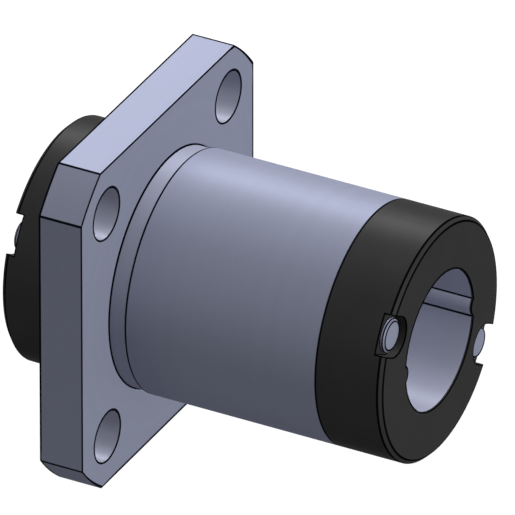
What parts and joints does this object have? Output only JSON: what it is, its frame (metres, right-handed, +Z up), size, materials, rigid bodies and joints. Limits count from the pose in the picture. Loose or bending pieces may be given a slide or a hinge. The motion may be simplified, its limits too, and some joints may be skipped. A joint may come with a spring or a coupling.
{
  "type": "flanged ball spline nut",
  "caption": "Flanged ball spline nut: square flange, round body on a relieved neck, black end caps held by screws, and ball rows that recirculate round an open splined bore.",
  "frame": {"origin": "centre of the flange's front face, the face that meets the housing, on the bore's axis", "axes": "+X along the bore from the flange towards the front cap, +Z up square to a flange edge, +Y the other edge direction"},
  "size_m": [0.0386, 0.033, 0.033],
  "materials": {
    "ground_steel": "satin, finely ground",
    "retainer_steel": "satin, drawn",
    "cap_resin": "matt black moulded resin",
    "guide_resin": "natural moulded resin",
    "screw_steel": "bright turned steel",
    "ball_steel": "polished bearing steel"
  },
  "bodies": {
    "nut": {"outer_cylinder": "ground_steel", "ball_retainer": "retainer_steel", "front_end_cap": "cap_resin", "rear_end_cap": "cap_resin", "front_turn_guide_1": "guide_resin", "front_turn_guide_2": "guide_resin", "rear_turn_guide_1": "guide_resin", "rear_turn_guide_2": "guide_resin", "front_cap_screw_1": "screw_steel", "front_cap_screw_2": "screw_steel", "rear_cap_screw_1": "screw_steel", "rear_cap_screw_2": "screw_steel"},
    "load_row_1": {"load_balls_1": "ball_steel"},
    "return_row_1": {"return_balls_1": "ball_steel"},
    "front_turn_row_1": {"front_turn_balls_1": "ball_steel"},
    "rear_turn_row_1": {"rear_turn_balls_1": "ball_steel"},
    "load_row_2": {"load_balls_2": "ball_steel"},
    "return_row_2": {"return_balls_2": "ball_steel"},
    "front_turn_row_2": {"front_turn_balls_2": "ball_steel"},
    "rear_turn_row_2": {"rear_turn_balls_2": "ball_steel"}
  },
  "joints": [
    {"name": "load_row_1_travel", "type": "slide", "parent": "nut", "child": "load_row_1", "axis": [1, 0, 0], "range_m": [-0.00127, 0.00127]},
    {"name": "return_row_1_travel", "type": "slide", "parent": "nut", "child": "return_row_1", "axis": [1, 0, 0], "range_m": [-0.00127, 0.00127]},
    {"name": "front_turn_1", "type": "hinge", "parent": "nut", "child": "front_turn_row_1", "pos_m": [0.021, 0.00723, 0.00242], "axis": [0.342, -0.9385, -0.0475], "range_deg": [-30.1, 30.1]},
    {"name": "rear_turn_1", "type": "hinge", "parent": "nut", "child": "rear_turn_row_1", "pos_m": [-0.0044, 0.00723, 0.00242], "axis": [-0.342, -0.9385, -0.0475], "range_deg": [-30.1, 30.1]},
    {"name": "load_row_2_travel", "type": "slide", "parent": "nut", "child": "load_row_2", "axis": [1, 0, 0], "range_m": [-0.00127, 0.00127]},
    {"name": "return_row_2_travel", "type": "slide", "parent": "nut", "child": "return_row_2", "axis": [1, 0, 0], "range_m": [-0.00127, 0.00127]},
    {"name": "front_turn_2", "type": "hinge", "parent": "nut", "child": "front_turn_row_2", "pos_m": [0.021, -0.00723, -0.00242], "axis": [0.342, 0.9385, 0.0475], "range_deg": [-30.1, 30.1]},
    {"name": "rear_turn_2", "type": "hinge", "parent": "nut", "child": "rear_turn_row_2", "pos_m": [-0.0044, -0.00723, -0.00242], "axis": [-0.342, 0.9385, 0.0475], "range_deg": [-30.1, 30.1]}
  ],
  "couplings": [
    {"joint": "return_row_1_travel", "follows": "load_row_1_travel", "ratio": -1},
    {"joint": "front_turn_1", "follows": "load_row_1_travel", "rad_per_m": 412.28},
    {"joint": "rear_turn_1", "follows": "load_row_1_travel", "rad_per_m": 412.28},
    {"joint": "return_row_2_travel", "follows": "load_row_2_travel", "ratio": -1},
    {"joint": "front_turn_2", "follows": "load_row_2_travel", "rad_per_m": 412.28},
    {"joint": "rear_turn_2", "follows": "load_row_2_travel", "rad_per_m": 412.28}
  ]
}
